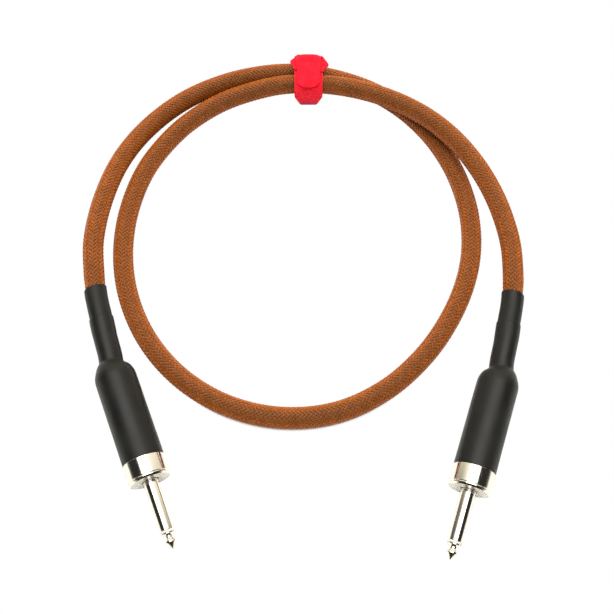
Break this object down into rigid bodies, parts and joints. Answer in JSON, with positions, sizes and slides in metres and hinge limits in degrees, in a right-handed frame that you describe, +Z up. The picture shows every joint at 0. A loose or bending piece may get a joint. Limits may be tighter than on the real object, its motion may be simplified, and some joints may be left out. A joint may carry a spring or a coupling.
{
  "type": "instrument cable",
  "caption": "Braided instrument lead coiled in a loop and held by a fabric tie, with a straight jack plug and shrink-covered handle at each end.",
  "frame": {"origin": "centre of the part seen from above (plugs and tie), on the surface that the cable lies on", "axes": "+Z up from the surface the cable lies on, -Y the way both plug tips point, +X towards the right-hand plug"},
  "size_m": [0.1997, 0.2545, 0.0218],
  "materials": {
    "braid": "woven satin braid",
    "lead_jacket": "matt",
    "tie_fabric": "matt loop pile",
    "tip_nickel": "polished nickel plate",
    "shaft_nickel": "polished nickel plate",
    "handle_nickel": "polished nickel plate",
    "insulator_plastic": "moulded",
    "tinned_metal": "tin plated",
    "fibre_washer": "pressed fibre",
    "liner_plastic": "moulded",
    "outer_shrink": "satin heat-shrink",
    "inner_shrink": "matt heat-shrink",
    "core_insulation": "foamed",
    "copper": "bare copper",
    "solder": "cooled solder"
  },
  "bodies": {
    "cable": {"braided_sleeve": "braid", "lead_jacket": "lead_jacket", "tie_band": "tie_fabric", "tie_head": "tie_fabric"},
    "tie_tongue": {"tie_tongue": "tie_fabric"},
    "left_plug": {"left_tip_contact": "tip_nickel", "left_front_ring": "insulator_plastic", "left_insulator": "insulator_plastic", "left_shaft": "shaft_nickel", "left_ground_lug": "tinned_metal", "left_rear_washer": "fibre_washer", "left_tip_lug": "tinned_metal", "left_handle": "handle_nickel", "left_liner": "liner_plastic", "left_outer_shrink": "outer_shrink", "left_inner_shrink": "inner_shrink", "left_sleeve_end": "braid", "left_jacket_end": "lead_jacket", "left_core": "core_insulation", "left_conductor": "copper", "left_shield_tail": "copper", "left_tip_solder": "solder", "left_shield_solder": "solder"},
    "right_plug": {"right_tip_contact": "tip_nickel", "right_front_ring": "insulator_plastic", "right_insulator": "insulator_plastic", "right_shaft": "shaft_nickel", "right_ground_lug": "tinned_metal", "right_rear_washer": "fibre_washer", "right_tip_lug": "tinned_metal", "right_handle": "handle_nickel", "right_liner": "liner_plastic", "right_outer_shrink": "outer_shrink", "right_inner_shrink": "inner_shrink", "right_sleeve_end": "braid", "right_jacket_end": "lead_jacket", "right_core": "core_insulation", "right_conductor": "copper", "right_shield_tail": "copper", "right_tip_solder": "solder", "right_shield_solder": "solder"}
  },
  "joints": [
    {"name": "left_plug_flex", "type": "hinge", "parent": "cable", "child": "left_plug", "pos_m": [-0.09351, -0.00769, 0.01617], "axis": [0, 0, 1], "range_deg": [-20, 12], "stiffness_Nm_per_rad": 0.06},
    {"name": "right_plug_flex", "type": "hinge", "parent": "cable", "child": "right_plug", "pos_m": [0.09348, -0.01034, 0.01617], "axis": [0, 0, 1], "range_deg": [-12, 20], "stiffness_Nm_per_rad": 0.06},
    {"name": "tie_tongue_peel", "type": "hinge", "parent": "cable", "child": "tie_tongue", "pos_m": [0.00215, 0.1206, 0.0189], "axis": [-1, 0, 0], "range_deg": [0, 120]}
  ]
}
